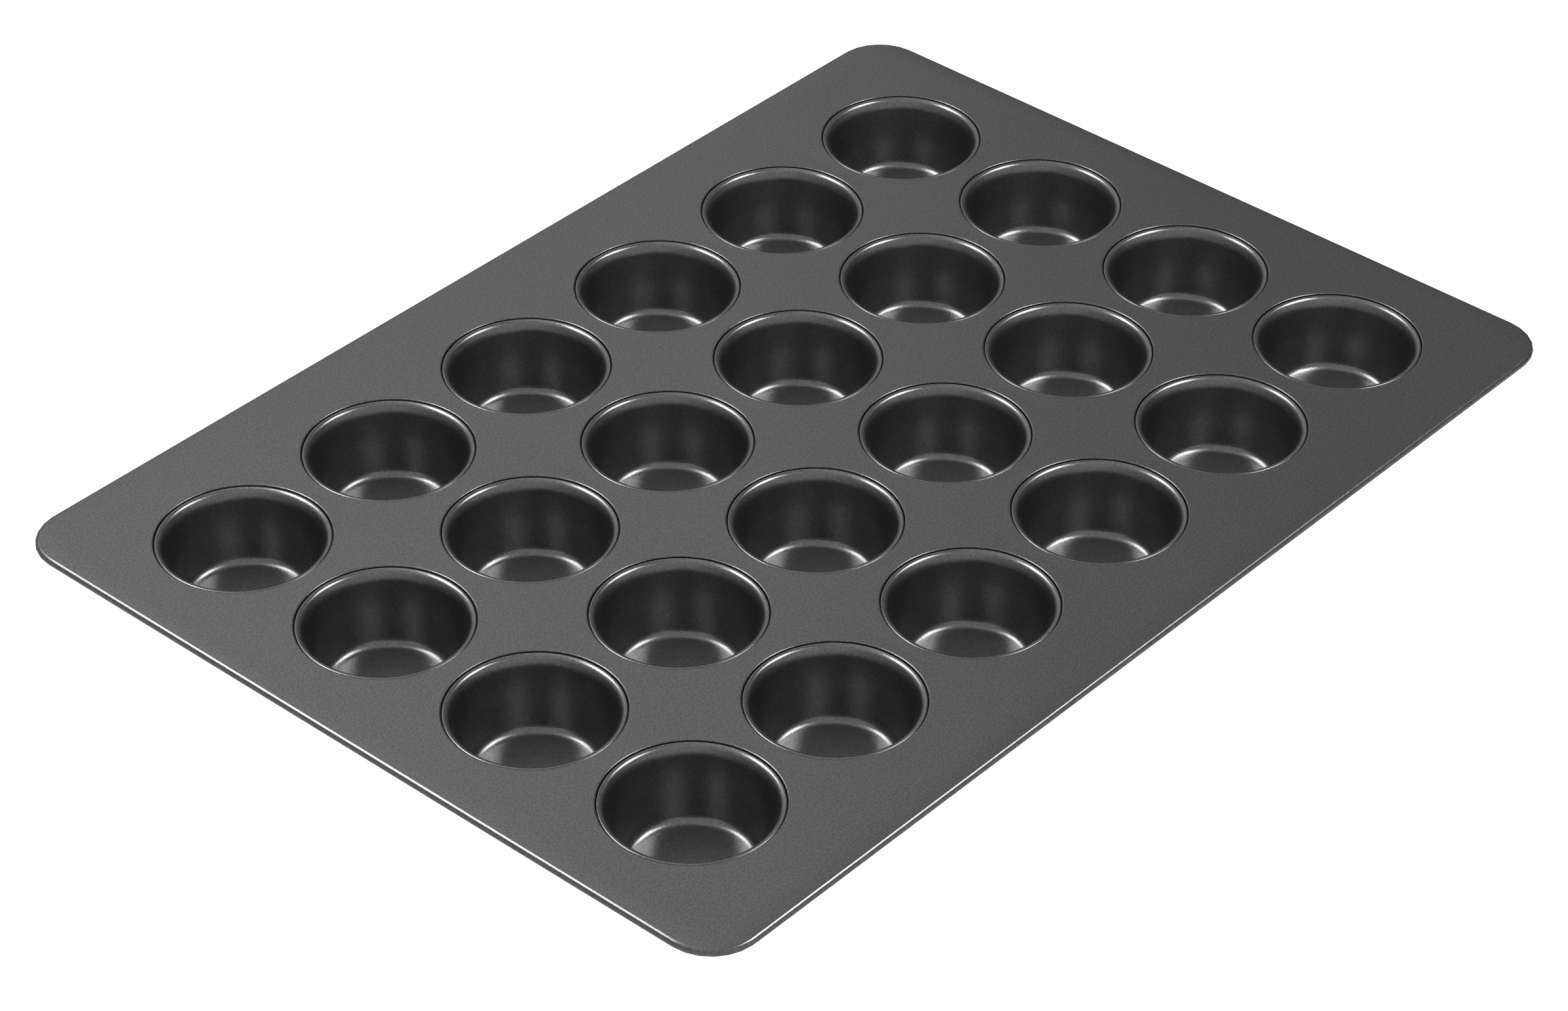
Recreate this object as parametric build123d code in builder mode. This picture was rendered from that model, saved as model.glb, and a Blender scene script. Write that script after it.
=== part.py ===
from build123d import *
import os
from math import radians, tan

# Muffin tin: a steel plate with 24 drawn cups seamed into its holes. Millimetres.
# Frame: +X along the length, +Y across, +Z up. Origin: centre of the footprint, on the
# surface that the cup bottoms stand on.

# ---- driving dimensions ----
end_margin = 23.0  # outermost cup's folded edge to the rim's outer edge, at the short ends
side_margin = 29.4  # and along the long sides
corner_radius = 21.0  # outline of the finished rim
sheet = 0.5  # gauge of the plate and the cups
bend_inside = 0.2  # inside radius of the tight bends that show; the hidden ones are square
wire_radius = 1.15  # stiffening wire in the rim
roll_turn = 290.0  # degrees that the edge wraps round the wire

columns = 6  # cups along X
rows = 4  # cups along Y
cup_gap = 4.4  # between the folded edges of neighbouring cups

seam_radius = 35.0  # where a cup's skirt meets its collar
cup_depth = 31.4  # plate top to the inside of the cup's floor
lip_drop = 0.45  # how far a cup's lip sits below the plate top
lip_land = 0.2  # flat along the very top of the lip
lip_radius = 2.4  # rounding from the lip into the wall
wall_draft = 12.0  # degrees from upright
floor_fillet = 3.8  # rounding from the wall into the floor
collar_land = 0.8  # flat ring of plate round each bend
collar_height = 3.2  # plate top to the underside of the collar's flange
flange_reach = 2.0  # how far the flange turns out from the seam
fold_back = 1.2  # how far the cup's edge folds back over the flange

# ---- derived sizes ----
plate_top = cup_depth + sheet
bend_outside = bend_inside + sheet
roll_radius = wire_radius + sheet
wire_height = plate_top - roll_radius
hole_radius = seam_radius + bend_outside + collar_land
flange_radius = seam_radius + flange_reach
flange_underside = plate_top - collar_height
cup_width = 2 * (flange_radius + sheet)  # over the folded edge

pitch = cup_width + cup_gap  # cup centre to cup centre, both ways
plate_length = (columns - 1) * pitch + cup_width + 2 * end_margin
plate_width = (rows - 1) * pitch + cup_width + 2 * side_margin

lip_top = plate_top - lip_drop
lip_tangent = lip_radius * tan(radians(90 - wall_draft) / 2)
mouth_radius = seam_radius - bend_outside - lip_land - lip_tangent  # wall line carried up to the lip
floor_radius = mouth_radius - (lip_top - sheet) * tan(radians(wall_draft))  # and down to the floor

path_length = plate_length - 2 * roll_radius
path_width = plate_width - 2 * roll_radius
path_corner = corner_radius - roll_radius

os.makedirs("parts", exist_ok=True)


# ---- the collar round one hole: the sheet turns down, then out in a flange ----
with BuildPart() as collar:
    with BuildSketch(Plane.XZ):
        with BuildLine():
            FilletPolyline(
                (hole_radius, plate_top),
                (seam_radius, plate_top),
                (seam_radius, flange_underside),
                (flange_radius, flange_underside),
                radius=[bend_outside, 0],
            )
            offset(amount=sheet, side=Side.LEFT, kind=Kind.INTERSECTION)
        make_face()
    revolve(axis=Axis.Z)

# ---- the path of the rim: a rounded rectangle through the middle of the wire ----
with BuildSketch(Plane.XY.offset(wire_height)) as rim_outline:
    RectangleRounded(path_length, path_width, path_corner)
rim_path = rim_outline.sketch.wire()
rim_outward = (rim_path % 0).cross(Vector(0, 0, 1))
rim_section = Plane(origin=rim_path @ 0, x_dir=rim_outward, z_dir=rim_outward.cross(Vector(0, 0, 1)))

# ---- plate: flat sheet, 24 collars and the edge rolled round the wire ----
with BuildPart() as pan_plate:
    with BuildSketch(Plane.XY.offset(plate_top - sheet)):
        RectangleRounded(path_length, path_width, path_corner)
        with GridLocations(pitch, pitch, columns, rows):
            Circle(hole_radius, mode=Mode.SUBTRACT)
    extrude(amount=sheet)
    with GridLocations(pitch, pitch, columns, rows):
        add(collar.part)
    with BuildSketch(rim_section):
        with BuildLine():
            CenterArc((0, 0), wire_radius, 90, -roll_turn)
            offset(amount=sheet, side=Side.LEFT)
        make_face()
    sweep(path=rim_path)
pan_plate.part.label = "pan_plate"
export_step(pan_plate.part, "parts/pan_plate.step")

# ---- stiffening wire, inside the rolled edge ----
with BuildPart() as rim_wire:
    with BuildSketch(rim_section):
        Circle(wire_radius)
    sweep(path=rim_path)
rim_wire.part.label = "rim_wire"
export_step(rim_wire.part, "parts/rim_wire.step")

# ---- one drawn cup: floor, wall and lip, with its edge folded round the collar's flange ----
with BuildPart() as drawn_cup:
    with BuildSketch(Plane.XZ):
        with BuildLine():
            FilletPolyline(
                (0, sheet),
                (floor_radius, sheet),
                (mouth_radius, lip_top),
                (seam_radius, lip_top),
                (seam_radius, flange_underside),
                (flange_radius, flange_underside),
                (flange_radius, flange_underside + sheet),
                (flange_radius - fold_back, flange_underside + sheet),
                radius=[floor_fillet, lip_radius, bend_outside, 0, 0, 0],
            )
            offset(amount=sheet, side=Side.LEFT, kind=Kind.INTERSECTION)
        make_face()
    revolve(axis=Axis.Z)

# ---- the 24 cups, each a node of its own: cup_ROW_COLUMN, from -X -Y ----
for row in range(rows):
    for column in range(columns):
        cup_x = (column - (columns - 1) / 2) * pitch
        cup_y = (row - (rows - 1) / 2) * pitch
        with BuildPart() as cup:
            with Locations((cup_x, cup_y, 0)):
                add(drawn_cup.part)
        cup.part.label = f"cup_{row + 1}_{column + 1}"
        export_step(cup.part, f"parts/{cup.part.label}.step")
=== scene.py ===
# %% [markdown]
# # A muffin tin with 24 seamed cups
# The tin is a flat steel plate, an edge rolled round a wire, and 24 drawn cups whose edges are
# folded round the collars of the plate's holes. This script reads the outside sizes from the CAD
# frame, makes each sheet-metal surface again as a fine, smooth mesh, and gives it the satin
# non-stick coating. Lengths are in metres.

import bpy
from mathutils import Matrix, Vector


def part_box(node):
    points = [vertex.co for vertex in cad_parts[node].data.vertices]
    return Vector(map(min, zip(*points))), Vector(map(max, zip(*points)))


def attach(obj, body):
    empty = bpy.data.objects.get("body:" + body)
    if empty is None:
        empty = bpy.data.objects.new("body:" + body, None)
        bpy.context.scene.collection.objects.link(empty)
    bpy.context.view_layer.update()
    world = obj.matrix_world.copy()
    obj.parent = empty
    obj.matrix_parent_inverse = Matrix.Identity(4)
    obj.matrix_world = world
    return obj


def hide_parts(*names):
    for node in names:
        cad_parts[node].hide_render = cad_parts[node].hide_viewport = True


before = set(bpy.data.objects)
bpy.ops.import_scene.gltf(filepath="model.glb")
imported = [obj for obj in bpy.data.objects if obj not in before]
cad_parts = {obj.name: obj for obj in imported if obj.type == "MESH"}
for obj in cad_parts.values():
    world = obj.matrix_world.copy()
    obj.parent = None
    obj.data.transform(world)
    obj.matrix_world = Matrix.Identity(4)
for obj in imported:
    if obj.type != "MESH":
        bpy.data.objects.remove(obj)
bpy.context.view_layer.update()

import math

import bmesh
import bpy
import numpy as np
from mathutils import Matrix, Vector

# %% [markdown]
# ## Sizes
# The outside sizes come from the boxes of the CAD nodes: the plate, the wire and the cups. The
# small sizes of the sheet-metal work, such as the gauge and the bends, repeat the CAD model's.
# Each is written once and everything else is worked out from them.

# %% Sizes
MM = 0.001
plate_low, plate_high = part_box("pan_plate")
wire_low, wire_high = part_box("rim_wire")
cup_names = sorted(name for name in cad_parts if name.startswith("cup_"))
cup_boxes = {name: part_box(name) for name in cup_names}
cup_centres = {name: (low + high) / 2 for name, (low, high) in cup_boxes.items()}
columns = max(int(name.split("_")[2]) for name in cup_names)
rows = max(int(name.split("_")[1]) for name in cup_names)
pitch = cup_centres["cup_1_2"].x - cup_centres["cup_1_1"].x

sheet = 0.5 * MM  # gauge of the steel
bend = 0.7 * MM  # outside radius of a tight bend
flange_reach = 2.0 * MM  # how far the collar's flange turns out
fold_back = 1.2 * MM  # how far the cup's edge folds back over it
collar_land = 0.8 * MM  # flat ring of plate round each collar
floor_fillet = 3.8 * MM  # rounding from a cup's wall into its floor
lip_radius = 2.4 * MM  # rounding from a cup's lip into its wall
lip_land = 0.2 * MM  # flat at the very top of a lip
collar_height = 3.2 * MM  # plate top to the underside of the collar's flange
rim_corner = 21.0 * MM  # corner of the finished rim, seen from above
wall_draft = math.radians(12)  # the wall's lean from upright
roll_turn = math.radians(290)  # how far the edge wraps round the wire

plate_top = plate_high.z
wire_radius = (wire_high.z - wire_low.z) / 2
roll_radius = wire_radius + sheet
lip_top = cup_boxes["cup_1_1"][1].z
flange_under = plate_low.z + 2 * roll_radius - collar_height
seam_radius = (cup_boxes["cup_1_1"][1].x - cup_boxes["cup_1_1"][0].x) / 2 - sheet - flange_reach
flange_radius = seam_radius + flange_reach
corner_radius = rim_corner - roll_radius  # corner of the flat part, up to the roll
half_length = plate_high.x - roll_radius
half_width = plate_high.y - roll_radius
print("seam radius %.4f, plate top %.4f, wire radius %.5f" % (seam_radius, plate_top, wire_radius))

# %% [markdown]
# ## A sheet-metal section
# Folded sheet metal is drawn as one line with rounded corners, and its thickness is set off to
# one side. A line of corners and radii is easy to read and to change. Each corner becomes an
# arc, and two extra points just outside the arc keep the flat stretches flat: smooth shading
# mixes the normals of neighbouring faces, so without them a bend would shade the plate.

# %% Line with rounded corners
def rounded_line(corners, radii, arc_steps=6, guard=0.12 * MM):
    """Points and left-hand normals along a line through corners, each corner rounded.

    A corner that turns by t with radius r becomes an arc that starts and ends r * tan(t / 2)
    from the corner. The line leaves and enters each arc through a point guard further out.
    """
    corners = np.asarray(corners, float)
    runs = np.diff(corners, axis=0)
    lengths = np.linalg.norm(runs, axis=1)
    ways = runs / lengths[:, None]
    points, normals = [corners[:1]], [np.array([[-ways[0, 1], ways[0, 0]]])]
    cut = [0.0]
    for way_in, way_out, radius in zip(ways[:-1], ways[1:], radii):
        turn = math.atan2(way_in[0] * way_out[1] - way_in[1] * way_out[0], way_in @ way_out)
        cut.append(radius * math.tan(abs(turn) / 2))
    cut.append(0.0)
    for i, radius in enumerate(radii):
        way_in, way_out, corner = ways[i], ways[i + 1], corners[i + 1]
        left_in = np.array([-way_in[1], way_in[0]])
        left_out = np.array([-way_out[1], way_out[0]])
        turn = math.atan2(way_in[0] * way_out[1] - way_in[1] * way_out[0], way_in @ way_out)
        side = math.copysign(1.0, turn)
        centre = corner - way_in * cut[i + 1] + left_in * side * radius
        steps = np.linspace(0.0, turn, max(2, int(round(arc_steps * abs(turn) / (math.pi / 2)))) + 1)
        spokes = np.stack([left_in[0] * np.cos(steps) - left_in[1] * np.sin(steps),
                           left_in[0] * np.sin(steps) + left_in[1] * np.cos(steps)], axis=1)
        arc = centre - spokes * side * radius
        room_in = lengths[i] - cut[i] - cut[i + 1]
        room_out = lengths[i + 1] - cut[i + 1] - cut[i + 2]
        if room_in > 2.5 * guard:
            points.append((arc[0] - way_in * guard)[None])
            normals.append(left_in[None])
        points.append(arc)
        normals.append(spokes)
        if room_out > 2.5 * guard:
            points.append((arc[-1] + way_out * guard)[None])
            normals.append(left_out[None])
    points.append(corners[-1:])
    normals.append(np.array([[-ways[-1, 1], ways[-1, 0]]]))
    return np.concatenate(points), np.concatenate(normals)


def filled(points, normals, longest):
    """Adds evenly spaced points so that no straight stretch is longer than longest."""
    gaps = np.linalg.norm(np.diff(points, axis=0), axis=1)
    counts = np.maximum(1, np.ceil(gaps / longest)).astype(int)
    starts = np.concatenate([[0], np.cumsum(counts)])
    place = np.interp(np.arange(starts[-1] + 1), starts, np.arange(len(points)))
    low = np.minimum(place.astype(int), len(points) - 2)
    part = (place - low)[:, None]
    more_points = points[low] * (1 - part) + points[low + 1] * part
    more_normals = normals[low] * (1 - part) + normals[low + 1] * part
    return more_points, more_normals


# %% [markdown]
# ## From numbers to a mesh
# A surface here is a grid: rows along the section, columns along the path that carries it. One
# helper joins neighbouring rows and columns with four-sided faces, and another hands whole
# arrays to Blender, which is far quicker than making vertices one at a time.

# %% Grid faces and mesh pieces
def grid_faces(row_count, column_count, first=0, flip=False):
    """Quads of a grid whose vertices run row by row from number first.

    Each row is a closed loop, so its last column joins its first.
    """
    row, column = np.meshgrid(np.arange(row_count - 1), np.arange(column_count), indexing="ij")
    here = row * column_count
    above = here + column_count
    after = (column + 1) % column_count
    quads = np.stack([here + column, here + after, above + after, above + column], axis=-1)
    quads = quads.reshape(-1, 4)
    return (quads[:, ::-1] if flip else quads) + first


def metal_piece(name, points, quads, fans, marks, material, replaces, weld=0.0):
    """A mesh object from arrays: points (n, 3), quads (m, 4), fans (k, 3) and named point marks."""
    mesh = bpy.data.meshes.new(name)
    loops = np.concatenate([quads.ravel(), fans.ravel()]).astype(np.int32)
    sizes = np.concatenate([np.full(len(quads), 4), np.full(len(fans), 3)]).astype(np.int32)
    mesh.vertices.add(len(points))
    mesh.vertices.foreach_set("co", np.ascontiguousarray(points, np.float32).ravel())
    mesh.loops.add(len(loops))
    mesh.loops.foreach_set("vertex_index", loops)
    mesh.polygons.add(len(sizes))
    starts = np.concatenate([[0], np.cumsum(sizes)[:-1]])
    mesh.polygons.foreach_set("loop_start", starts.astype(np.int32))
    for mark, values in marks.items():
        layer = mesh.attributes.new(mark, "FLOAT", "POINT")
        layer.data.foreach_set("value", np.ascontiguousarray(values, np.float32))
    mesh.update(calc_edges=True)
    if weld:
        work = bmesh.new()
        work.from_mesh(mesh)
        bmesh.ops.remove_doubles(work, verts=work.verts, dist=weld)
        work.to_mesh(mesh)
        work.free()
    mesh.shade_smooth()
    mesh.materials.append(material)
    piece = bpy.data.objects.new(name, mesh)
    bpy.context.scene.collection.objects.link(piece)
    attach(piece, "root")
    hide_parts(replaces)
    return piece


# %% [markdown]
# ## The coating's grain
# A baked-on non-stick coat isn't smooth: it has a fine orange peel, tiny lighter flecks where
# the filler catches the light, and soft cloudy changes of gloss where the spray lay thicker.
# The plate and the cups share this effect, so it is one node group with its own inputs, placed
# in each material with its own values. It reads Object coordinates, so it never slides.

# %% Node helpers and the grain group
def add_node(tree, kind, place, **values):
    """A node at a place in the tree, with the properties that the keywords name."""
    node = tree.nodes.new(kind)
    node.location = place
    for key, value in values.items():
        setattr(node, key, value)
    return node


def set_inputs(node, **values):
    """Sets sockets by name, with underscores for spaces."""
    for key, value in values.items():
        node.inputs[key.replace("_", " ")].default_value = value
    return node


def maths(tree, operation, place, first, second=None, clamp=False):
    """A Math node: sockets are links or plain numbers."""
    node = tree.nodes.new("ShaderNodeMath")
    node.operation, node.location, node.use_clamp = operation, place, clamp
    for socket, value in zip(node.inputs, (first, second)):
        if value is None:
            continue
        if isinstance(value, (int, float)):
            socket.default_value = value
        else:
            tree.links.new(value, socket)
    return node.outputs[0]


def new_group(name, inputs, outputs):
    """An empty shader node group with float inputs (name, default) and outputs (name)."""
    group = bpy.data.node_groups.new(name, "ShaderNodeTree")
    for label, default in inputs:
        socket = group.interface.new_socket(label, in_out="INPUT", socket_type="NodeSocketFloat")
        socket.default_value = default
    for label in outputs:
        group.interface.new_socket(label, in_out="OUTPUT", socket_type="NodeSocketFloat")
    return group, group.nodes.new("NodeGroupInput"), group.nodes.new("NodeGroupOutput")


def noise(tree, vector, scale, detail, roughness, place):
    """A Noise Texture's factor at a scale in repeats per metre."""
    node = add_node(tree, "ShaderNodeTexNoise", place)
    set_inputs(node, Scale=scale, Detail=detail, Roughness=roughness)
    tree.links.new(vector, node.inputs["Vector"])
    return node.outputs["Fac"]


grain_group, grain_in, grain_out = new_group(
    "coating_grain",
    [("Peel", 1.0), ("Fleck", 1.0), ("Cloud", 1.0)],
    ["Tone", "Gloss", "Height"],
)
grain_place = add_node(grain_group, "ShaderNodeTexCoord", (-900, 0)).outputs["Object"]
peel = noise(grain_group, grain_place, 1100.0, 2.0, 0.6, (-700, 200))
fleck = noise(grain_group, grain_place, 2600.0, 1.0, 0.5, (-700, -50))
cloud = noise(grain_group, grain_place, 22.0, 3.0, 0.5, (-700, -300))


def centred(factor, amount, level):
    """A noise factor moved to lie about 0, times the group's input called amount."""
    middle = maths(grain_group, "SUBTRACT", (-560, level), factor, 0.5)
    return maths(grain_group, "MULTIPLY", (-450, level), middle, grain_in.outputs[amount])


peel_part = centred(peel, "Peel", 200)
fleck_part = centred(fleck, "Fleck", -50)
cloud_part = centred(cloud, "Cloud", -300)
speckle = maths(grain_group, "ADD", (-300, 100), fleck_part, peel_part)
tone = maths(grain_group, "ADD", (-200, 100), speckle, cloud_part)
half_cloud = maths(grain_group, "MULTIPLY", (-300, -200), cloud_part, 0.5)
gloss = maths(grain_group, "ADD", (-200, -200), half_cloud, fleck_part)
grain_group.links.new(tone, grain_out.inputs["Tone"])
grain_group.links.new(gloss, grain_out.inputs["Gloss"])
grain_group.links.new(speckle, grain_out.inputs["Height"])
print("grain group sockets", len(grain_group.interface.items_tree))

# %% [markdown]
# ## The coated steel
# The finish is a dark grey coat that mirrors the room softly, as metal does, so hollows go nearly
# black and every rounded edge draws a bright line. A Principled shader with a high metallic
# value does this. Each mesh carries two marks. One, on the crest of the rolled edge and on the
# cups' lips, makes the coat a little lighter and smoother: the lighter tone is partly wear and
# partly a painted highlight where the lamps' lines fall. The other, in the crevice between a
# collar and its cup, makes the coat nearly black: painted shade, which also dims the collar's
# bright bend.

# %% Coated steel material
gloss_spread = 0.10  # how far the grain moves the roughness
wear_and_sheen_lighter = 0.10  # how much lighter the coat is at the crests: partly wear, partly painted highlight
rubbed_smoother = 0.05  # how much less rough it is
seam_shade_loss = 0.93  # share of the tone that the painted shade in a crevice takes away
relief_height = 0.02 * MM  # height of the bumps in a finish


def coated_steel(name, tone_value, metallic, roughness, peel_amount, fleck_amount, cloud_amount, bump):
    """Dark non-stick coating.

    Its tone is tone_value times (1 + grain + a lighter share at the crests, partly wear and partly painted
    highlight) times (1 - a share taken away in a collar's crevice by painted shade).
    """
    material = bpy.data.materials.new(name)
    material.use_nodes = True
    tree = material.node_tree
    tree.nodes.clear()
    shader = add_node(tree, "ShaderNodeBsdfPrincipled", (400, 0))
    output = add_node(tree, "ShaderNodeOutputMaterial", (700, 0))
    tree.links.new(shader.outputs[0], output.inputs[0])
    grain = add_node(tree, "ShaderNodeGroup", (-500, 0), node_tree=grain_group)
    set_inputs(grain, Peel=peel_amount, Fleck=fleck_amount, Cloud=cloud_amount)
    wear_and_sheen = add_node(tree, "ShaderNodeAttribute", (-500, -300), attribute_name="wear_and_sheen").outputs["Fac"]
    seam = add_node(tree, "ShaderNodeAttribute", (-500, -500), attribute_name="seam").outputs["Fac"]
    grained = maths(tree, "ADD", (-300, 150), grain.outputs["Tone"], 1.0)
    # lighter at the crests: partly wear, partly a painted highlight where the lamps' lines fall
    lighter = maths(tree, "MULTIPLY", (-300, 50), wear_and_sheen, wear_and_sheen_lighter)
    factor = maths(tree, "ADD", (-200, 150), grained, lighter)
    # nearly black in a collar's crevice: painted shade
    lost = maths(tree, "MULTIPLY", (-400, -500), seam, seam_shade_loss)
    open_share = maths(tree, "SUBTRACT", (-300, -500), 1.0, lost)
    factor = maths(tree, "MULTIPLY", (-100, 150), factor, open_share)
    colour = add_node(tree, "ShaderNodeVectorMath", (0, 150), operation="SCALE")
    colour.inputs[0].default_value = (tone_value, tone_value, tone_value * 1.01)
    tree.links.new(factor, colour.inputs["Scale"])
    tree.links.new(colour.outputs[0], shader.inputs["Base Color"])
    rough = maths(tree, "MULTIPLY", (-150, -100), grain.outputs["Gloss"], gloss_spread)
    rough = maths(tree, "ADD", (0, -100), rough, roughness)
    smoother = maths(tree, "MULTIPLY", (-150, -250), wear_and_sheen, rubbed_smoother)
    rough = maths(tree, "SUBTRACT", (120, -100), rough, smoother, clamp=True)
    tree.links.new(rough, shader.inputs["Roughness"])
    relief = add_node(tree, "ShaderNodeBump", (120, -350))
    set_inputs(relief, Strength=bump, Distance=relief_height)
    tree.links.new(grain.outputs["Height"], relief.inputs["Height"])
    tree.links.new(relief.outputs[0], shader.inputs["Normal"])
    set_inputs(shader, Metallic=metallic)
    print("material", name)
    return material


plate_coating = coated_steel("plate_coating", tone_value=0.24, metallic=0.97, roughness=0.25,
                             peel_amount=1.10, fleck_amount=1.30, cloud_amount=0.05, bump=0.08)
cup_coating = coated_steel("cup_coating", tone_value=0.245, metallic=0.93, roughness=0.25,
                           peel_amount=0.80, fleck_amount=1.00, cloud_amount=0.08, bump=0.08)

# %% [markdown]
# ## The wire's finish
# The wire isn't coated. It is plain drawn steel, bright grey with duller, slightly browner spots
# that are also a little smoother.

# %% Drawn steel material
def drawn_wire():
    """Plain drawn steel: one noise sets its tone, its roughness and its fine relief."""
    material = bpy.data.materials.new("wire_steel")
    material.use_nodes = True
    tree = material.node_tree
    tree.nodes.clear()
    shader = set_inputs(add_node(tree, "ShaderNodeBsdfPrincipled", (400, 0)), Metallic=1.0)
    output = add_node(tree, "ShaderNodeOutputMaterial", (700, 0))
    tree.links.new(shader.outputs[0], output.inputs[0])
    place = add_node(tree, "ShaderNodeTexCoord", (-700, 0)).outputs["Object"]
    mottle = noise(tree, place, 700.0, 4.0, 0.6, (-500, 0))
    ramp = add_node(tree, "ShaderNodeValToRGB", (-200, 100))
    ramp.color_ramp.elements[0].color = (0.20, 0.19, 0.18, 1)
    ramp.color_ramp.elements[1].color = (0.52, 0.52, 0.52, 1)
    tree.links.new(mottle, ramp.inputs[0])
    tree.links.new(ramp.outputs[0], shader.inputs["Base Color"])
    spread = maths(tree, "MULTIPLY", (-150, -100), mottle, 0.2)
    rough = maths(tree, "ADD", (0, -100), spread, 0.3)
    tree.links.new(rough, shader.inputs["Roughness"])
    relief = add_node(tree, "ShaderNodeBump", (100, -300))
    set_inputs(relief, Strength=0.4, Distance=relief_height)
    tree.links.new(mottle, relief.inputs["Height"])
    tree.links.new(relief.outputs[0], shader.inputs["Normal"])
    return material


wire_steel = drawn_wire()
print("material", wire_steel.name)

# %% [markdown]
# ## The plate
# The plate is one sheet. Round each hole it turns down into a collar and out into a flange, and
# its outer edge rolls round the wire. To keep every hole truly round and still have a tidy mesh,
# the plate is cut into one cell per hole: each cell is a grid that runs from the hole's section
# out to the cell's edge. Neighbouring cells meet on the same points and are welded.

# %% Plate surface
def seam_shade_ramp(depth, start, full):
    """The painted seam shade: 0 down to the depth start, rising smoothly to 1 at the depth full."""
    share = np.clip((depth - start) / (full - start), 0, 1)
    return share * share * (3 - 2 * share)


side_steps = 20  # points along each side of a cell
flat_rings = 3  # rings of faces between a collar's land and its cell's edge
roll_steps = 32  # faces round the rolled edge
sag = 0.05 * MM  # deepest dip of the flat sheet
sag_fade = 12 * MM  # distance from the roll over which the dips fade out
seam_start, seam_full = 0.06 * MM, 0.42 * MM  # depths between which the painted shade on a collar comes in
crest_turn = math.radians(62)  # where on the rolled edge the coat is lighter and smoother, from level: where the lamps' highlight falls, so partly painted highlight and partly wear
crest_spread = math.radians(22)  # and how far round that reaches
weld_gap = 0.002 * MM  # points nearer than this are one point
touching = 1e-6  # two lengths nearer than this, in metres, are the same

flange_line = [(flange_radius, flange_under), (seam_radius, flange_under), (seam_radius, plate_top),
               (seam_radius + bend + collar_land, plate_top)]
collar_top, collar_left = rounded_line(flange_line, [bend, bend])


def from_middle(points):
    """How each (x, y) lies from the rectangle between the corner arcs' centres: zero inside it."""
    inner = np.array([half_length - corner_radius, half_width - corner_radius])
    return points - np.clip(points, -inner, inner)


def dip(points):
    """How far the sheet dips at (x, y): slow waves that fade out towards the rolled edge.

    Three sines of x and y, counted in pitches, add to a wave w, and the dip is sag * (w / 3 - 1) / 2,
    which lies between -sag and 0.
    """
    x, y = points[..., 0] / pitch, points[..., 1] / pitch
    wave = np.sin(1.3 * x + 0.7 * y + 0.4) + np.sin(2.1 * y - 0.9 * x + 2.0)
    wave = wave + np.sin(1.7 * x + 1.9 * y + 4.1)
    gap = corner_radius - np.linalg.norm(from_middle(points), axis=-1)
    return sag * (wave / 3 - 1) / 2 * np.clip(gap / sag_fade, 0, 1)


def cell_edge(column, row):
    """Centre of one cell's hole, points round the cell's edge, and each point's angle round the hole.

    The points run anticlockwise from the +X -Y corner.
    A side is straight, except at the plate's own corners: there the two sides that meet share a
    rounded corner, each taking half of the quarter circle, spaced evenly by length.
    """
    centre_x = (column - (columns - 1) / 2) * pitch
    centre_y = (row - (rows - 1) / 2) * pitch
    low_x = -half_length if column == 0 else centre_x - pitch / 2
    high_x = half_length if column == columns - 1 else centre_x + pitch / 2
    low_y = -half_width if row == 0 else centre_y - pitch / 2
    high_y = half_width if row == rows - 1 else centre_y + pitch / 2
    corners = np.array([[high_x, low_y], [high_x, high_y], [low_x, high_y], [low_x, low_y]])
    at_end = np.abs(np.abs(corners[:, 0]) - half_length) < touching
    at_side = np.abs(np.abs(corners[:, 1]) - half_width) < touching
    rounded = at_end & at_side
    edge, angle = [], []
    share = np.arange(side_steps) / side_steps
    bearings = np.unwrap(np.arctan2(corners[:, 1] - centre_y, corners[:, 0] - centre_x))
    bearings = np.append(bearings, bearings[0] + 2 * math.pi)
    for side in range(4):
        start, end = corners[side], corners[(side + 1) % 4]
        length = np.linalg.norm(end - start)
        way = (end - start) / length
        inward = np.array([-way[1], way[0]])
        half_arc = corner_radius * math.pi / 4
        lead = half_arc - corner_radius if rounded[side] else 0.0
        tail = half_arc - corner_radius if rounded[(side + 1) % 4] else 0.0
        along = -lead + share * (length + lead + tail)
        points = start + along[:, None] * way
        if rounded[side]:
            turned = np.clip((corner_radius - along) / corner_radius, 0, None)[:, None]
            centre = start + corner_radius * (way + inward)
            curve = centre - corner_radius * (np.sin(turned) * way + np.cos(turned) * inward)
            points = np.where(turned > 0, curve, points)
        if rounded[(side + 1) % 4]:
            turned = np.clip((along - length + corner_radius) / corner_radius, 0, None)[:, None]
            centre = end + corner_radius * (-way + inward)
            curve = centre + corner_radius * (np.sin(turned) * way - np.cos(turned) * inward)
            points = np.where(turned > 0, curve, points)
        edge.append(points)
        angle.append(bearings[side] + share * (bearings[side + 1] - bearings[side]))
    return np.array([centre_x, centre_y]), np.concatenate(edge), np.concatenate(angle)


def plate_cell(column, row):
    """Both faces of one cell, upper then lower, as grids of (rings, points, 3).

    The collar's section turned about the hole comes first, then flat rings out to the cell's edge.
    """
    centre, edge, angle = cell_edge(column, row)
    spoke = np.stack([np.cos(angle), np.sin(angle)], axis=1)
    faces = []
    for offset in (0.0, sheet):
        section = collar_top - collar_left * offset
        ring = centre + section[:, 0, None, None] * spoke
        height = np.broadcast_to(section[:, 1, None, None], ring.shape[:2] + (1,))
        collar = np.concatenate([ring, height], axis=2)
        share = (np.arange(1, flat_rings + 1) / flat_rings)[:, None, None]
        flat = collar[-1:, :, :2] * (1 - share) + edge * share
        level = (plate_top - offset + dip(flat) * share[..., 0])[..., None]
        faces.append(np.concatenate([collar, np.concatenate([flat, level], axis=2)]))
    return faces


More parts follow.
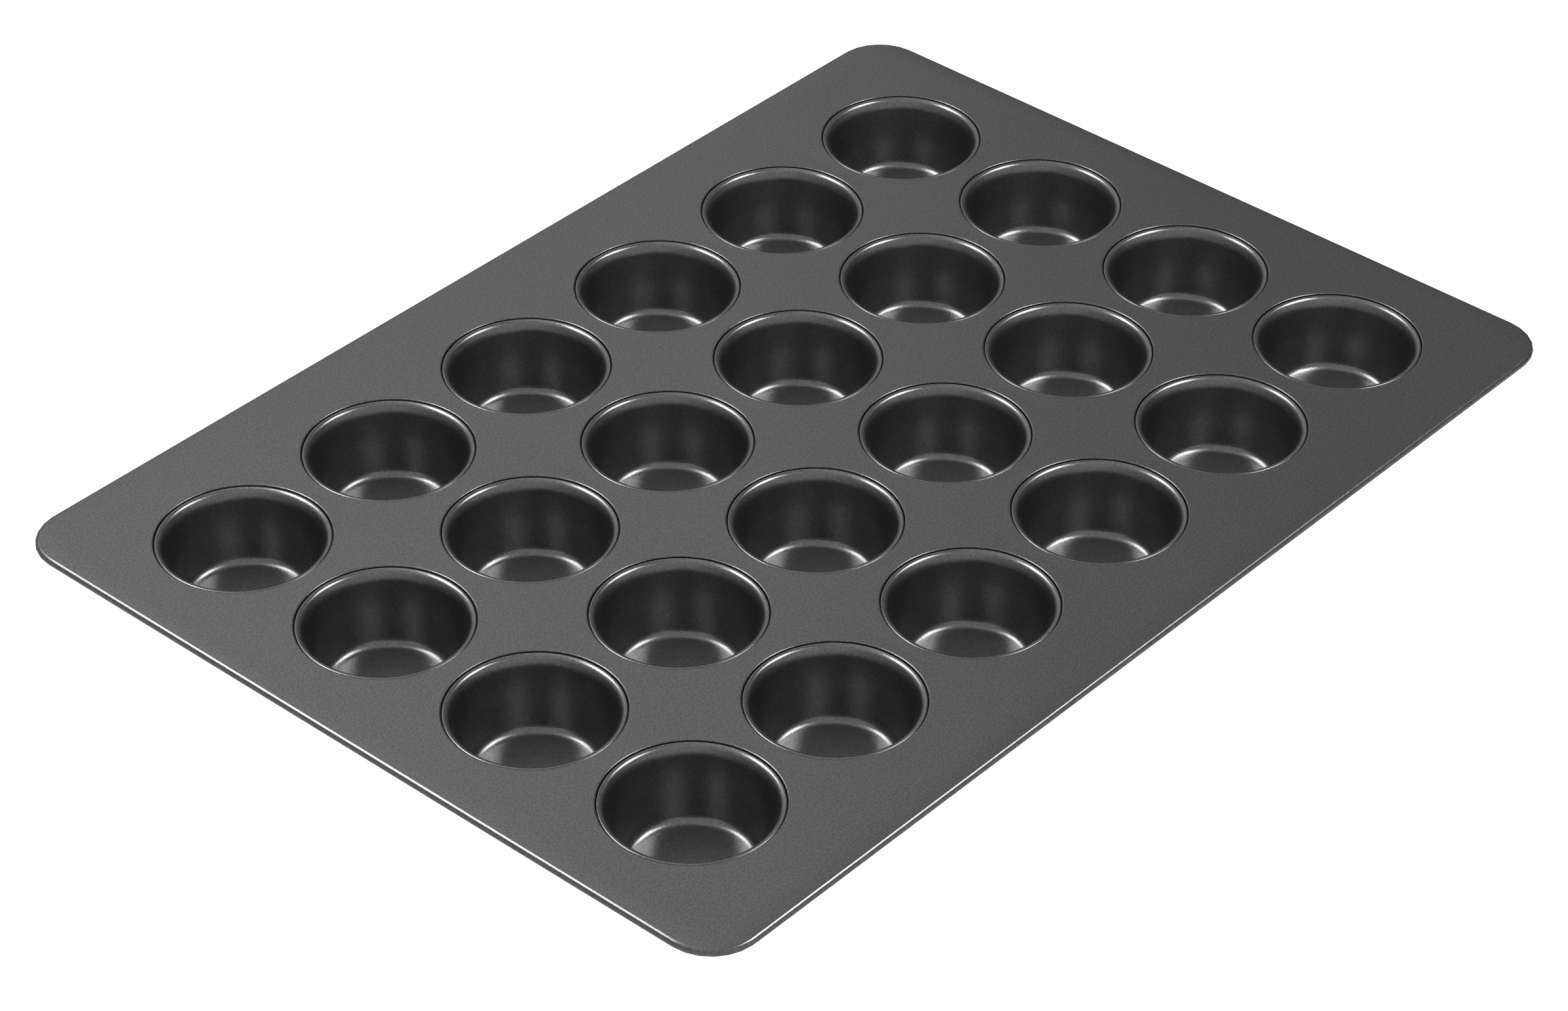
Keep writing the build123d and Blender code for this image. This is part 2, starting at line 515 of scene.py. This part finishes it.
def rim_frame():
    """The outer edge of the flat plate in order, with its outward directions, from the border cells."""
    border = []
    for column in range(columns):
        for row in range(rows):
            edge = cell_edge(column, row)[1]
            reach = np.linalg.norm(from_middle(edge), axis=1)
            border.append(edge[np.abs(reach - corner_radius) < 1e-7])
    points = np.unique(np.round(np.concatenate(border), 9), axis=0)
    outward = from_middle(points) / corner_radius
    # in order of the angle on a plate squeezed to a square, which rises all the way round
    order = np.argsort(np.arctan2(points[:, 1] / half_width, points[:, 0] / half_length))
    return points[order], outward[order]


def make_plate():
    """Welds the cells and the rolled edge into one closed sheet with an upper and a lower face."""
    points, quads, wear_and_sheen, seam = [], [], [], []
    first = 0
    # painted shade down the collar into the crevice, which also dims the collar's bend
    collar_shade = seam_shade_ramp(plate_top - collar_top[:, 1], seam_start, seam_full)
    seam_shade_mark = np.concatenate([collar_shade, np.zeros(flat_rings)])
    for column in range(columns):
        for row in range(rows):
            upper, lower = plate_cell(column, row)
            rings, around = upper.shape[:2]
            points += [upper.reshape(-1, 3), lower.reshape(-1, 3)]
            wear_and_sheen.append(np.zeros(2 * rings * around))
            seam += [np.repeat(seam_shade_mark, around), np.zeros(rings * around)]
            quads.append(grid_faces(rings, around, first, flip=True))
            quads.append(grid_faces(rings, around, first + rings * around))
            lip = np.stack([np.arange(around), np.roll(np.arange(around), -1)], axis=1)
            quads.append(np.concatenate([lip, lip[:, ::-1] + rings * around], axis=1) + first)
            first += 2 * rings * around
    edge, outward = rim_frame()
    turns = math.pi / 2 - np.linspace(0, roll_turn, roll_steps + 1)
    wire_level = plate_top - roll_radius
    sheets = []
    for radius in (roll_radius, wire_radius):
        ring = edge + radius * np.cos(turns)[:, None, None] * outward
        height = (wire_level + radius * np.sin(turns))[:, None, None]
        height = np.broadcast_to(height, ring.shape[:2] + (1,))
        sheets.append(np.concatenate([ring, height], axis=2).reshape(-1, 3))
    around = len(edge)
    # a lighter, smoother band round the roll where the lamps' highlight falls: partly wear, partly painted
    # highlight
    crest = np.exp(-((turns - crest_turn) / crest_spread) ** 2)
    points += sheets
    wear_and_sheen += [np.repeat(crest, around), np.zeros(len(sheets[1]))]
    seam.append(np.zeros(2 * len(sheets[1])))
    quads.append(grid_faces(roll_steps + 1, around, first, flip=True))
    quads.append(grid_faces(roll_steps + 1, around, first + len(sheets[0])))
    last = first + roll_steps * around
    lip = np.stack([np.arange(around), np.roll(np.arange(around), -1)], axis=1) + last
    quads.append(np.concatenate([lip[:, ::-1], lip + len(sheets[0])], axis=1))
    no_fans = np.zeros((0, 3), int)
    marks = {"wear_and_sheen": np.concatenate(wear_and_sheen), "seam": np.concatenate(seam)}
    return metal_piece("plate", np.concatenate(points), np.concatenate(quads), no_fans, marks,
                       plate_coating, "pan_plate", weld=weld_gap)


plate = make_plate()
print("plate faces", len(plate.data.polygons))

# %% [markdown]
# ## The cups
# A cup is drawn from a disc of steel, so its wall, floor and lip are one surface of revolution.
# The lines of the CAD wall give the floor's width. Here the wall also opens out a little just
# under the lip, and the lip curves from the seam down into that flare.
# The section runs along the inside from the middle of the floor, up the wall, over the lip, down
# the skirt and round the collar's flange, and comes back along the outside one gauge away.

# %% Cups
cup_around = 112  # faces round a cup
floor_level = cup_boxes["cup_1_1"][0].z + sheet
lip_run = lip_radius * math.tan((math.pi / 2 - wall_draft) / 2)
wall_top = seam_radius - bend - lip_land - lip_run
floor_radius = wall_top - (lip_top - floor_level) * math.tan(wall_draft)
flare_depth, flare_draft = 3.0 * MM, math.radians(27)  # the wall opens out just under the lip
lip_round = 2.3 * MM  # the lip curves from the seam down into the flare
mouth_radius = seam_radius - bend - lip_round * math.tan((math.pi / 2 - flare_draft) / 2)
flare_radius = mouth_radius - flare_depth * math.tan(flare_draft)
flare_blend = 9 * MM  # rounding from the flare into the wall
fold_bend = 0.05 * MM  # inside rounding of the edge folded back over the flange
longest_face = 4.0 * MM  # longest straight face along the section
wear_and_sheen_reach = 2.2 * MM  # how far the lighter, smoother coat (partly wear, partly painted highlight) reaches from the lip's crest
flange_top = flange_under + sheet
cup_corners = [(0, floor_level), (floor_radius, floor_level), (flare_radius, lip_top - flare_depth),
               (mouth_radius, lip_top), (seam_radius, lip_top),
               (seam_radius, flange_under), (flange_radius, flange_under),
               (flange_radius, flange_top), (flange_radius - fold_back, flange_top)]
cup_radii = [floor_fillet, flare_blend, lip_round, bend, bend, fold_bend, fold_bend]
inner_line, inner_left = filled(*rounded_line(cup_corners, cup_radii, arc_steps=9), longest_face)
print("cup mouth %.4f floor %.4f lip rounding %.4f" % (mouth_radius, floor_radius, lip_round))


def make_cup(name, centre):
    """One cup: the closed section turned about the upright line through its centre."""
    outer_line = inner_line - inner_left * sheet
    section = np.concatenate([inner_line, outer_line[::-1]])
    angle = np.arange(cup_around) / cup_around * 2 * math.pi
    ring = section[1:-1]
    across = centre.x + ring[:, :1] * np.cos(angle)
    along = centre.y + ring[:, :1] * np.sin(angle)
    level = np.broadcast_to(ring[:, 1:], (len(ring), cup_around))
    points = np.stack([across, along, level], axis=2).reshape(-1, 3)
    poles = np.array([[centre.x, centre.y, section[0, 1]], [centre.x, centre.y, section[-1, 1]]])
    step = np.arange(cup_around)
    after = (step + 1) % cup_around
    last = (len(ring) - 1) * cup_around
    inner_fan = np.stack([np.full(cup_around, len(points)), step, after], axis=1)
    outer_fan = np.stack([np.full(cup_around, len(points) + 1), last + after, last + step], axis=1)
    crest = [seam_radius - bend, lip_top]
    # lighter, smoother lip: partly wear, partly a painted highlight
    lip_mark = np.exp(-(np.linalg.norm(ring - crest, axis=1) / wear_and_sheen_reach) ** 2)
    # painted shade on the cup's outer bend, down in the crevice
    seam_shade_mark = seam_shade_ramp(ring[:, 0], seam_radius - 0.62 * bend, seam_radius - 0.2 * bend)
    wear_and_sheen = np.concatenate([np.repeat(lip_mark, cup_around), [0, 0]])
    seam = np.concatenate([np.repeat(seam_shade_mark, cup_around), [0, 0]])
    quads = grid_faces(len(ring), cup_around, flip=True)
    fans = np.concatenate([inner_fan, outer_fan])
    return metal_piece("drawn_" + name, np.concatenate([points, poles]), quads, fans,
                       {"wear_and_sheen": wear_and_sheen, "seam": seam}, cup_coating, name)


cups = [make_cup(name, cup_centres[name]) for name in cup_names]
print("cups", len(cups), "faces each", len(cups[0].data.polygons))

# %% [markdown]
# ## The wire
# The wire inside the rolled edge is only seen from below, through the gap where the roll ends.
# Its CAD node already has the right shape, so it stays and gets the finish of drawn steel.

# %% Wire
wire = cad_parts["rim_wire"]
for slot_index in range(len(wire.material_slots)):
    wire.material_slots[slot_index].material = wire_steel
print("wire slots", len(wire.material_slots))

# %% [markdown]
# ## The view
# The camera looks down across a corner of the tin with a long lens. The view's directions are
# worked out first, because the lamps and the room are placed by them too.

# %% Directions of the view
view_bearing = math.radians(48.546)  # the camera looks this far round from +Y towards +X
view_drop = math.radians(36.598)  # and this far down
view_roll = math.radians(-0.277)
view_distance = 23.159 * pitch
look_at_right = 0.11595 * pitch  # how far the tin's centre is right of the picture's middle
look_at_up = 0.34795 * pitch  # and how far above it
tin_centre = Vector((0, 0, lip_top))
level_ahead = Vector((math.sin(view_bearing), math.cos(view_bearing), 0))
level_right = Vector((math.cos(view_bearing), -math.sin(view_bearing), 0))
ahead = level_ahead * math.cos(view_drop) - Vector((0, 0, math.sin(view_drop)))
above = level_right.cross(ahead)
right = level_right * math.cos(view_roll) - above * math.sin(view_roll)
above = right.cross(ahead)
print("look", list(ahead), "right", list(right))

# %% Camera
camera_data = bpy.data.cameras.new("camera")
camera_data.sensor_width = 36.0
camera_data.lens = 104.57  # a long lens, so the far rows are hardly smaller
camera_data.clip_end = 50
camera = bpy.data.objects.new("camera", camera_data)
turn = Matrix((right, above, -ahead)).transposed()
camera_place = tin_centre - right * look_at_right - above * look_at_up - ahead * view_distance
camera.matrix_world = Matrix.Translation(camera_place) @ turn.to_4x4()
bpy.context.scene.collection.objects.link(camera)
bpy.context.scene.camera = camera
print("camera at", list(camera.matrix_world.translation))

# %% [markdown]
# ## The floor
# The floor is a wide square of pale board a hair under the cups. It glows for the camera's rays
# only, so it shows near white and still lights the tin no more than a pale board would.

# %% Floor
floor_glow = 0.95  # strength of the glow that the camera sees
floor_reach = 4.0  # half the floor's side
floor_drop = 0.2 * MM  # how far it lies under the cups, so that no two faces share a plane


def make_floor():
    """A square of pale matt board that glows for the camera's rays only."""
    material = bpy.data.materials.new("pale_floor")
    material.use_nodes = True
    tree = material.node_tree
    shader = tree.nodes["Principled BSDF"]
    set_inputs(shader, Roughness=0.9)
    place = add_node(tree, "ShaderNodeTexCoord", (-900, 0)).outputs["Object"]
    mottle = noise(tree, place, 6.0, 4.0, 0.6, (-700, 0))
    ramp = add_node(tree, "ShaderNodeValToRGB", (-500, 0))
    ramp.color_ramp.elements[0].color = (0.54, 0.54, 0.54, 1)
    ramp.color_ramp.elements[1].color = (0.58, 0.58, 0.58, 1)
    tree.links.new(mottle, ramp.inputs[0])
    tree.links.new(ramp.outputs[0], shader.inputs["Base Color"])
    seen = add_node(tree, "ShaderNodeLightPath", (-500, -300)).outputs["Is Camera Ray"]
    shader.inputs["Emission Color"].default_value = (1, 1, 1, 1)
    glow = maths(tree, "MULTIPLY", (-200, -300), seen, floor_glow)
    tree.links.new(glow, shader.inputs["Emission Strength"])
    mesh = bpy.data.meshes.new("floor")
    reach, level = floor_reach, -floor_drop
    corners = [(-reach, -reach, level), (reach, -reach, level), (reach, reach, level), (-reach, reach, level)]
    mesh.from_pydata(corners, [], [(0, 1, 2, 3)])
    mesh.materials.append(material)
    floor = bpy.data.objects.new("floor", mesh)
    bpy.context.scene.collection.objects.link(floor)
    return floor


floor = make_floor()
print("floor side", 2 * floor_reach)

# %% [markdown]
# ## The lamps
# Two soft lamps stand to the left and the right of the view. Their reflections draw the bright
# lines along the cups' lips and the rolled edge.

# %% Soft lamps
def soft_lamp(name, bearing, height, distance, width, tall, radiance):
    """A rectangular lamp that faces the tin.

    Bearing is in degrees to the right of the view, and height in degrees above level.
    """
    data = bpy.data.lights.new(name, "AREA")
    data.shape = "RECTANGLE"
    data.size, data.size_y = width, tall
    data.energy = radiance * math.pi * width * tall
    lamp = bpy.data.objects.new(name, data)
    bearing, height = math.radians(bearing), math.radians(height)
    out = (level_ahead * math.cos(bearing) + level_right * math.sin(bearing)) * math.cos(height)
    out = out + Vector((0, 0, math.sin(height)))
    lamp.location = out * distance
    lamp.rotation_euler = out.to_track_quat("Z", "Y").to_euler()
    bpy.context.scene.collection.objects.link(lamp)
    print(name, "at", [round(c, 2) for c in lamp.location])
    return lamp


soft_lamp("left_lamp", bearing=-62.0, height=54.0, distance=2.5, width=1.6, tall=0.8, radiance=5.1)
soft_lamp("right_lamp", bearing=84.0, height=55.0, distance=1.9, width=1.0, tall=0.7, radiance=5.4)

# %% [markdown]
# ## The room
# A dim room gives the flat plate its grey. Beyond the tin is a backdrop that brightens upwards
# and is lighter on its left half. Behind the camera the room is grey, and darker low on the left.

# %% Room
backdrop_left = 0.51  # brightness of the backdrop's left half
backdrop_right = 0.26  # and of its right half
room_behind = 0.42  # brightness behind the camera
left_gap = 0.40  # share of it that is missing low on the left


def make_room():
    """A world whose brightness depends on how far a ray faces the view, its right and upwards."""
    world = bpy.data.worlds.new("room")
    bpy.context.scene.world = world
    world.use_nodes = True
    tree = world.node_tree
    tree.nodes.clear()
    output = add_node(tree, "ShaderNodeOutputWorld", (900, 0))
    background = add_node(tree, "ShaderNodeBackground", (700, 0))
    tree.links.new(background.outputs[0], output.inputs[0])
    way = add_node(tree, "ShaderNodeTexCoord", (-900, 0)).outputs["Generated"]

    def facing(direction, place):
        """How far the ray faces a direction: 1 along it, 0 square to it."""
        node = add_node(tree, "ShaderNodeVectorMath", place, operation="DOT_PRODUCT")
        tree.links.new(way, node.inputs[0])
        node.inputs[1].default_value = direction
        return node.outputs["Value"]

    def ramped(value, low, high, out_low, out_high, place):
        """A smooth step from out_low, where value is low or less, to out_high, at high or more."""
        node = add_node(tree, "ShaderNodeMapRange", place, interpolation_type="SMOOTHSTEP")
        set_inputs(node, From_Min=low, From_Max=high, To_Min=out_low, To_Max=out_high)
        tree.links.new(value, node.inputs["Value"])
        return node.outputs["Result"]

    side = facing(level_right, (-600, -100))
    up = facing(Vector((0, 0, 1)), (-600, -300))
    backdrop = ramped(side, 0.0, 0.07, backdrop_left, backdrop_right, (-350, -100))
    fade = ramped(side, 0.05, 0.35, 1.0, 0.9, (-350, -200))
    rise = ramped(up, 0.0, 0.62, 0.14, 1.0, (-350, -300))
    level_part = maths(tree, "MULTIPLY", (-150, -100), backdrop, fade)
    beyond = maths(tree, "MULTIPLY", (-50, -200), level_part, rise)
    ahead_share = ramped(facing(level_ahead, (-600, 200)), -0.3, 0.3, 0.0, 1.0, (-350, 200))
    far_part = maths(tree, "MULTIPLY", (150, 0), beyond, ahead_share)
    left_share = ramped(side, -0.7, -0.1, left_gap, 0.0, (-350, 350))
    low_share = ramped(up, 0.25, 0.6, 1.0, 0.0, (-350, 500))
    gap = maths(tree, "MULTIPLY", (-150, 400), left_share, low_share)
    behind = maths(tree, "SUBTRACT", (-50, 350), 1.0, gap)
    behind = maths(tree, "MULTIPLY", (50, 350), behind, room_behind)
    behind_share = maths(tree, "SUBTRACT", (0, 200), 1.0, ahead_share)
    near_part = maths(tree, "MULTIPLY", (150, 200), behind_share, behind)
    strength = maths(tree, "ADD", (400, 100), far_part, near_part)
    tree.links.new(strength, background.inputs["Strength"])
    background.inputs["Color"].default_value = (1, 1, 1, 1)
    return world


room = make_room()
bpy.context.scene.view_settings.view_transform = "Standard"
print("world", room.name)
